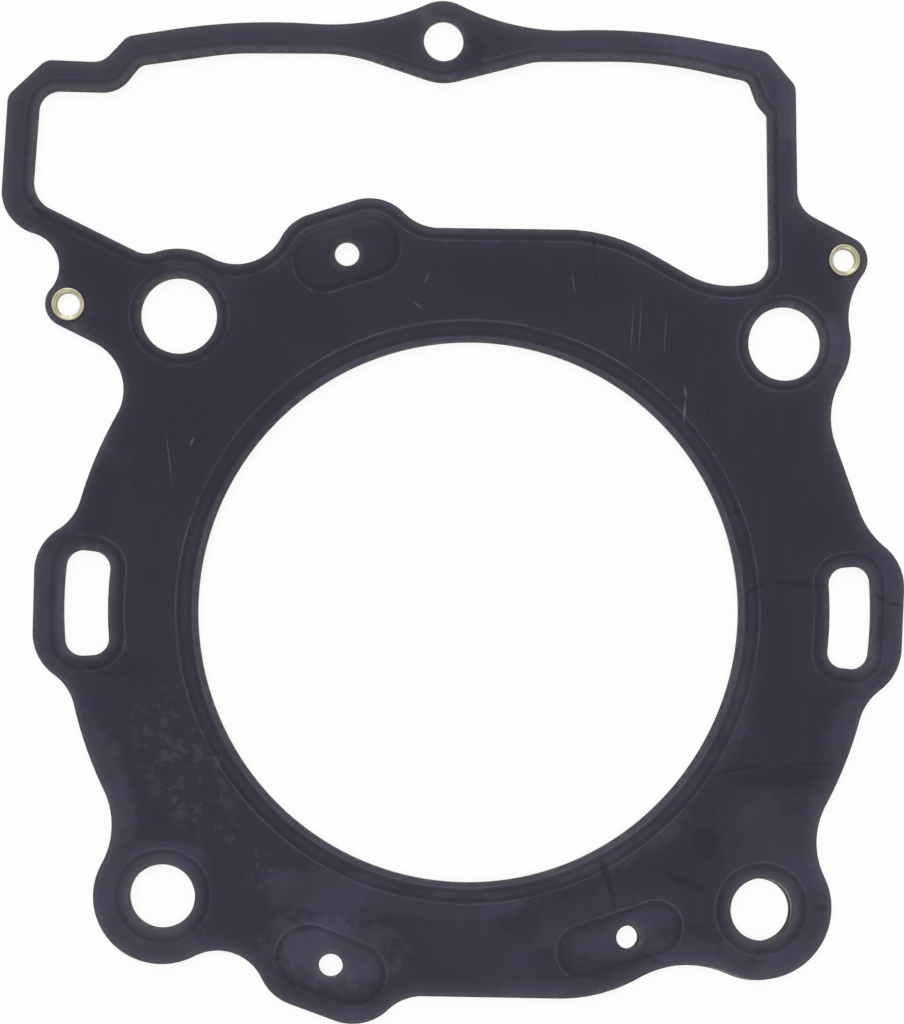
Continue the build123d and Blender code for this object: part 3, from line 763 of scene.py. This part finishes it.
def coating_material(colours):
    """Nitrile-coated spring steel, roller coated and cured.

    The eye gets a satin, nearly black aubergine skin, mottled slate and plum, with a faint grain up
    the sheet, paler along the beads' feet, with paler and darker patches, and marked by handling.
    Glare is painted paler towards cut edges, with a painted highlight over their last millimetre,
    and shade is painted darker in creases, on the slopes past the beads' feet, round the eyelets'
    heads and along the last third of a cut edge.
    """
    material, tree = emptied(bpy.data.materials.new("nitrile_coated_spring_steel"))
    place = add(tree, "TexCoord", output="Object")
    foot, edge, glare, crowding = (add(tree, "Attribute", output="Fac", attribute_name=name)
                                      for name in TOLD)
    # Rolling grain runs up the sheet, about seventeen times as long as it is wide
    rolled = add(tree, "Mapping", {"Vector": place, "Scale": (1, 0.06, 1)})
    # Each pattern's coordinates, size in mm, detail and roughness: clouds of roller coating, mottling,
    # patches, rolling grain, the coating's own grain (finer than 0.1 mm, but drawn as coarse as it
    # needs to show), chips at an edge, and the slow waves of a sheet that isn't dead flat
    clouds, mottle, patchy, grain, speckle, chips, waves = (
        add(tree, "TexNoise", {"Vector": where, "Scale": 1 / (size * MM), "Detail": detail,
                               "Roughness": roughness})
        for where, size, detail, roughness in (
            (place, 14, 5, 0.6), (place, 7, 3, 0.5), (place, 1.9, 3, 0.5), (rolled, 0.9, 3, 0.5),
            (place, 0.35, 2, 0.5), (place, 0.9, 2, 0.5), (place, 30, 1, 0.5)))

    # Each level's value, the range that it is read over, and the range that this becomes, if not 0 to 1
    level = {name: add(tree, "MapRange", dict(zip(RANGE, row))) for name, row in {
        # How thin and pale the coating is, how plum rather than slate, how pale its grain, how dull
        "pale": (clouds, 0.35, 0.7, 0, 0.4),
        "warmth": (mottle, 0.42, 0.58),
        "flecks": (grain, 0.5, 0.75, 0, 0.3),
        "dull": (clouds, 0.3, 0.7, 0.55, 0.68),
        # Strength of painted crease shade and of scratches, of the paler patches and of scuffs, and a
        # mark's ragged rim
        "broken": (patchy, 0.35, 0.55, 0.4, 0.7),
        "blotchy": (mottle, 0.4, 0.6, 0.2, 0.36),
        "spots": (patchy, 0.53, 0.62, 0, 0.14),
        "ragged": (patchy, 0.3, 0.7, -0.2, 0.2),
        # The line along a foot wanders, is worn more in some places, and fades where edges are near
        "foot": (mottle, 0.3, 0.7, 0.8, 1.2),
        "worn": (clouds, 0.38, 0.6, 0.15, 0.58),
        "clear": (crowding, 0.05, 0.015, 0.2, 1),
        "uneven": (patchy, 0.35, 0.6, 0.45, 1),
        # The last millimetre before a cut edge is painted a patchy paler grey as a highlight, and its last
        # third is painted darker as shade at the edge, and chipped
        "grey": (edge, 1.2 * MM, 0.25 * MM),
        "patchy_highlight": (patchy, 0.35, 0.65, 0.08, 0.2),
        "rim": (edge, 0.3 * MM, 0.05 * MM),
        "chipped": (chips, 0.45, 0.65, 0, 0.5),
    }.items()}
    # Marks, patches, painted crease shade and the painted shadow round the eyelets lie on the upper side
    # alone, and other levels are products of two
    height = add(tree, "SeparateXYZ", {"Vector": place}, output="Z")
    above = add(tree, "Math", {0: height, 1: STACK_MIDDLE}, operation="GREATER_THAN")
    for name, by in (("broken", above), ("blotchy", above), ("spots", above), ("foot", foot),
                     ("worn", level["clear"]), ("worn", level["uneven"]), ("grey", level["patchy_highlight"]),
                     ("chipped", level["rim"]), ("rim", 0.45)):
        level[name] = add(tree, "Math", {0: level[name], 1: by}, operation="MULTIPLY")
    pale_patches, scuffs, crease_shades, stains, scored, eyelet_shadow = (marks(tree, place, *row) for row in (
        (PALE_PATCHES, level["ragged"], 0.5, level["blotchy"]), (SCUFFED, level["ragged"], 0.6, level["spots"]),
        (CREASE_SHADES, 0.0, 0.4, level["broken"]), (STAINS, level["ragged"], 0.6, above),
        (SCRATCHES, 0.0, 0.1, level["broken"]), (eyelet_shadow_rings(), 0.0, 0.7, above)))
    # The press stretches the coating pale along a bead's foot, and the slope past it is painted darker,
    # as shade on the slope added over the shading from its own tilt
    line = band(tree, level["foot"], 0.0, 0.2, 0.5, level["worn"])
    slope_shade = band(tree, level["foot"], 0.3, 0.8, 1.9, 0.45)

    tint = add(tree, "Mix", {0: level["warmth"], MIX_A: colours.slate, MIX_B: colours.plum},
               output=MIX_RESULT, data_type="RGBA")
    colour = colours.coating
    # Painted glare towards cut edges, painted shade on bead slopes, in creases and round the eyelets, and a
    # painted highlight and shade along a cut edge are mixed here with the coating's own colours
    for share, over in (
            (level["pale"], colours.coating_pale), (0.25, tint), (level["flecks"], colours.coating_pale),
            (glare, colours.glare_and_pale_patches), (pale_patches, colours.glare_and_pale_patches), (scuffs, colours.scratch),
            (line, colours.bead_line), (slope_shade, colours.painted_shade), (crease_shades, colours.painted_shade),
            (stains, colours.stain), (scored, colours.scratch), (eyelet_shadow, colours.painted_shade),
            (level["grey"], colours.cut_steel), (level["rim"], colours.painted_shade),
            (level["chipped"], colours.cut_steel)):
        colour = add(tree, "Mix", {0: share, MIX_A: colour, MIX_B: over}, output=MIX_RESULT,
                     data_type="RGBA")

    height = add(tree, "Math", {0: speckle, 1: grain}, operation="ADD")
    fine = add(tree, "Bump", {"Height": height, "Distance": 0.01 * MM, "Strength": 0.6})
    normal = add(tree, "Bump", {"Height": waves, "Distance": 0.25 * MM, "Strength": 1.0, "Normal": fine})
    surface = add(tree, "BsdfPrincipled", {
        "Base Color": colour, "Roughness": level["dull"], "Normal": normal, "IOR": 1.5,
        "Specular IOR Level": 0.2})
    add(tree, "OutputMaterial", {"Surface": surface})
    return material


def metal_material(name, colour, worn, clouds, lines, share, roughness, bump, metallic):
    """A metal whose colour turns to a worn one in clouds, with roughness and bump along lines.

    clouds and lines give the stretch of a pattern and its size in mm. share gives the range that
    the clouds are read over and the range of the worn colour's share, and bump a depth in mm and a
    strength.
    """
    material, tree = emptied(bpy.data.materials.new(name))
    place = add(tree, "TexCoord", output="Object")
    cloud, line = (add(tree, "TexNoise", {
        "Vector": add(tree, "Mapping", {"Vector": place, "Scale": stretch}),
        "Scale": 1 / (size * MM), "Detail": 3.0}) for stretch, size in (clouds, lines))
    share = add(tree, "MapRange", dict(zip(RANGE, (cloud, *share))))
    colour = add(tree, "Mix", {0: share, MIX_A: colour, MIX_B: worn}, output=MIX_RESULT, data_type="RGBA")
    rough = add(tree, "MapRange", dict(zip(RANGE, (line, 0, 1, *roughness))))
    normal = add(tree, "Bump", {"Height": line, "Distance": bump[0] * MM, "Strength": bump[1]})
    surface = add(tree, "BsdfPrincipled", {
        "Base Color": colour, "Roughness": rough, "Normal": normal, "Metallic": metallic})
    add(tree, "OutputMaterial", {"Surface": surface})
    return material


def cut_edge_material(colours):
    """Punched edge of coated steel.

    The eye gets dull grey-green metal, streaked down the cut, with dark coating dragged over it.
    """
    # Drag marks of the punch, 0.8 mm apart along the edge and drawn out down the cut
    drags = ((1, 1, 0.15), 0.8)
    return metal_material("punched_coated_steel", colours.coating_pale, colours.cut_steel, drags, drags,
                          (0.35, 0.7, 0.05, 0.3), roughness=(0.35, 0.55), bump=(0.02, 0.5), metallic=0.5)


def spacer_material(colours):
    """Bare cold-rolled stainless spacer sheet.

    The eye gets a soft grey metal with fine rolling lines.
    """
    # Clouds 5 mm across, and rolling lines 0.3 mm apart and about twenty times as long
    return metal_material("cold_rolled_stainless", colours.spacer_steel, colours.cut_steel,
                          ((1, 1, 1), 5), ((1, 0.05, 1), 0.3), (0.35, 0.65, 0, 0.4),
                          roughness=(0.3, 0.5), bump=(0.005, 0.5), metallic=0.9)


def brass_material(colours):
    """Rolled brass eyelet, pressed and left unpolished.

    The eye gets a pale greenish yellow metal, dulled, with darker tarnish in small clouds.
    """
    # Tarnish in clouds about 0.8 mm across
    tarnish = ((1, 1, 1), 0.8)
    return metal_material("rolled_brass", colours.brass, colours.cut_steel, tarnish, tarnish,
                          (0.4, 0.7, 0, 0.35), roughness=(0.3, 0.5), bump=(0.01, 0.3), metallic=1.0)


def seen_directly(tree):
    """1 for a ray from the camera, or one that metal reflects or glass lets through, and 0 for others."""
    camera, glossy, through = (add(tree, "LightPath", output=name)
                               for name in ("Is Camera Ray", "Is Glossy Ray", "Is Transmission Ray"))
    reflected = add(tree, "Math", {0: glossy, 1: through}, operation="MAXIMUM")
    return add(tree, "Math", {0: camera, 1: reflected}, operation="MAXIMUM")


def floor_material(colours):
    """Matt white paper.

    The eye gets a plain white ground with a faint shadow.
    """
    material, tree = emptied(bpy.data.materials.new("white_backdrop_paper"))
    paper = add(tree, "BsdfDiffuse", {"Color": colours.floor})
    glow = add(tree, "Emission", {"Color": WHITE, "Strength": 1.0})
    share = add(tree, "Math", {0: seen_directly(tree), 1: FLOOR_GLOW}, operation="MULTIPLY")
    surface = add(tree, "MixShader", {0: share, 1: paper, 2: glow})
    add(tree, "OutputMaterial", {"Surface": surface})
    return material


# --- Stage

FLOOR_W = 4.0
FLOOR_GLOW = 0.88  # share of the floor that is seen as plain white
WORLD_LIGHT = 0.35  # strength of the even light from all round
SENSOR = 36.0
FRAME_H = 1024.0  # the frame's longer side in pixels, which the sensor spans
LENS_PIXELS = 1500.0  # focal length in those pixels
AXIS_FROM_MIDDLE = (62.0, 116.9)  # pixels from the frame's middle to where the lens points
CAMERA_PLACE = (-9.6 * MM, 5.9 * MM, 270.0 * MM)
CAMERA_TILT = (-1.895, -3.627, 2.031)  # degrees
# Each lamp: name, place and size in metres, and power in watts. All face the middle of the bore.
LAMPS = (
    ("lamp_back", (-0.5, 1.8, 1.1), 1.4, 27.0),
    ("lamp_front", (0.0, -1.4, 1.8), 1.4, 13.0),
    ("lamp_left", (-1.6, 0.2, 1.4), 1.2, 6.9),
    ("lamp_right", (1.6, 0.2, 1.4), 1.2, 6.9),
)


def make_floor(colours):
    """Square floor in the plane that the gasket rests on."""
    half = FLOOR_W / 2
    mesh = bpy.data.meshes.new("floor")
    corners = [(-half, -half, 0), (half, -half, 0), (half, half, 0), (-half, half, 0)]
    mesh.from_pydata(corners, [], [range(4)])
    mesh.materials.append(floor_material(colours))
    floor = in_scene("floor", mesh)


def make_lamps():
    """Square lamps, each turned so that it shines at the origin."""
    for name, place, size, power in LAMPS:
        lamp = bpy.data.lights.new(name, "AREA")
        lamp.shape = "SQUARE"
        lamp.size = size
        lamp.energy = power
        holder = in_scene(name, lamp)
        holder.location = place
        holder.rotation_euler = Vector(place).to_track_quat("Z", "Y").to_euler()


def make_world():
    """Even light from all round, seen as white."""
    world, tree = emptied(bpy.data.worlds.new("studio"))
    strength = add(tree, "MapRange", {"Value": seen_directly(tree), "To Min": WORLD_LIGHT, "To Max": 1.0})
    light = add(tree, "Background", {"Color": WHITE, "Strength": strength})
    add(tree, "OutputWorld", {"Surface": light})
    bpy.context.scene.world = world


def make_camera():
    """Camera over the gasket, a little to its left, its frame shifted up and to the left of its axis."""
    data = bpy.data.cameras.new("camera")
    data.sensor_width = SENSOR
    data.lens = LENS_PIXELS * SENSOR / FRAME_H
    data.shift_x = -AXIS_FROM_MIDDLE[0] / FRAME_H
    data.shift_y = AXIS_FROM_MIDDLE[1] / FRAME_H
    data.clip_start = 0.01
    data.clip_end = 20
    camera = in_scene("camera", data)
    camera.location = CAMERA_PLACE
    camera.rotation_euler = [math.radians(angle) for angle in CAMERA_TILT]
    bpy.context.scene.camera = camera


# --- Operators and panel


class GASKET_OT_facings(bpy.types.Operator):
    """Make the top and bottom facings with their beads and cut edges"""

    bl_idname = "gasket.facings"
    bl_label = "Facings"
    bl_options = {"REGISTER", "UNDO"}

    def execute(self, context):
        sizes, colours = context.scene.gasket_sizes, context.scene.gasket_colours
        surface = facing_surface(sizes)
        coating, cut = coating_material(colours), cut_edge_material(colours)
        creep = (sizes.bottom_creep, sizes.bottom_creep_reach, sizes.creep_heading)
        for name, node, moved, mirrored in (("facing_top", "top_facing_sheet", STILL, False),
                                            ("facing_bottom", "bottom_facing_sheet", creep, True)):
            sheet = sheet_object(name, node, surface, FACING_T, SPACER_TOP, moved, mirrored)
            sheet.data.materials.append(coating)
            sheet.data.materials.append(cut)
        return {"FINISHED"}


class GASKET_OT_spacer(bpy.types.Operator):
    """Make the flat spacer sheet between the facings"""

    bl_idname = "gasket.spacer"
    bl_label = "Spacer"
    bl_options = {"REGISTER", "UNDO"}

    def execute(self, context):
        sizes, colours = context.scene.gasket_sizes, context.scene.gasket_colours
        creep = (sizes.spacer_creep, sizes.spacer_creep_reach, sizes.creep_heading)
        sheet = sheet_object("spacer", "spacer_sheet", spacer_surface(sizes), SPACER_TOP - SPACER_BOTTOM,
                             SPACER_BOTTOM, creep)
        sheet.data.materials.append(spacer_material(colours))
        sheet.data.materials.append(cut_edge_material(colours))
        return {"FINISHED"}


class GASKET_OT_eyelets(bpy.types.Operator):
    """Make the two eyelets that hold the sheets together"""

    bl_idname = "gasket.eyelets"
    bl_label = "Eyelets"
    bl_options = {"REGISTER", "UNDO"}

    def execute(self, context):
        brass = brass_material(context.scene.gasket_colours)
        for name, node in (("eyelet_left", "left_eyelet"), ("eyelet_right", "right_eyelet")):
            eyelet = eyelet_object(name, node)
            eyelet.data.materials.append(brass)
        return {"FINISHED"}


class GASKET_OT_stage(bpy.types.Operator):
    """Make the floor, the lamps, the world and the camera"""

    bl_idname = "gasket.stage"
    bl_label = "Stage"
    bl_options = {"REGISTER", "UNDO"}

    def execute(self, context):
        make_floor(context.scene.gasket_colours)
        make_lamps()
        make_world()
        make_camera()
        context.scene.view_settings.view_transform = "Standard"
        return {"FINISHED"}


class GASKET_PT_panel(bpy.types.Panel):
    """Sizes, colours and pieces of the gasket"""

    bl_idname = "GASKET_PT_panel"
    bl_label = "Head gasket"
    bl_space_type = "VIEW_3D"
    bl_region_type = "UI"
    bl_category = "Gasket"

    def draw(self, context):
        for group in (context.scene.gasket_sizes, context.scene.gasket_colours):
            box = self.layout.box()
            for name in group.__annotations__:
                box.prop(group, name)
        for operator in OPERATORS:
            self.layout.operator(operator.bl_idname)


OPERATORS = (GASKET_OT_stage, GASKET_OT_facings, GASKET_OT_spacer, GASKET_OT_eyelets)
CLASSES = (GasketSizes, GasketColours, *OPERATORS, GASKET_PT_panel)


def register():
    """Registers the classes and gives every scene its sizes and colours."""
    for cls in CLASSES:
        bpy.utils.register_class(cls)
    bpy.types.Scene.gasket_sizes = PointerProperty(type=GasketSizes)
    bpy.types.Scene.gasket_colours = PointerProperty(type=GasketColours)


def unregister():
    """Takes back what register has added."""
    del bpy.types.Scene.gasket_colours
    del bpy.types.Scene.gasket_sizes
    for cls in reversed(CLASSES):
        bpy.utils.unregister_class(cls)


def main():
    register()
    bpy.ops.gasket.stage()
    bpy.ops.gasket.facings()
    bpy.ops.gasket.spacer()
    bpy.ops.gasket.eyelets()


if __name__ == "__main__":
    main()
